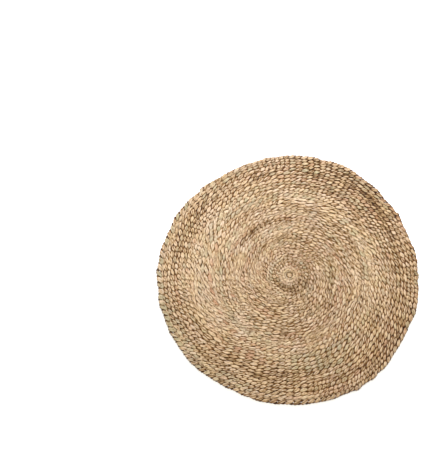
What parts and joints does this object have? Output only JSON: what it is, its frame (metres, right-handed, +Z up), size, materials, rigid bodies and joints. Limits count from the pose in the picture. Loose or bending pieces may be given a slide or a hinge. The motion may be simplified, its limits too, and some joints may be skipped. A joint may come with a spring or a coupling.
{
  "type": "water hyacinth rug",
  "caption": "Flat round rug hand twined from water hyacinth stalks, with raised spiral rows, a folded border and a slightly uneven outline.",
  "frame": {"origin": "on the floor under the middle of the rug's bounding box", "axes": "+Z up out of the rug's top face; +Y is away from the viewer of the picture and +X to the viewer's right"},
  "size_m": [1.2144, 1.1904, 0.013],
  "materials": {
    "stalks": "dry, flattened plant stalks in mixed straw, tan and grey-green tones, matt with a faint waxy sheen"
  },
  "bodies": {
    "root": {"rug": "stalks"}
  },
  "joints": []
}
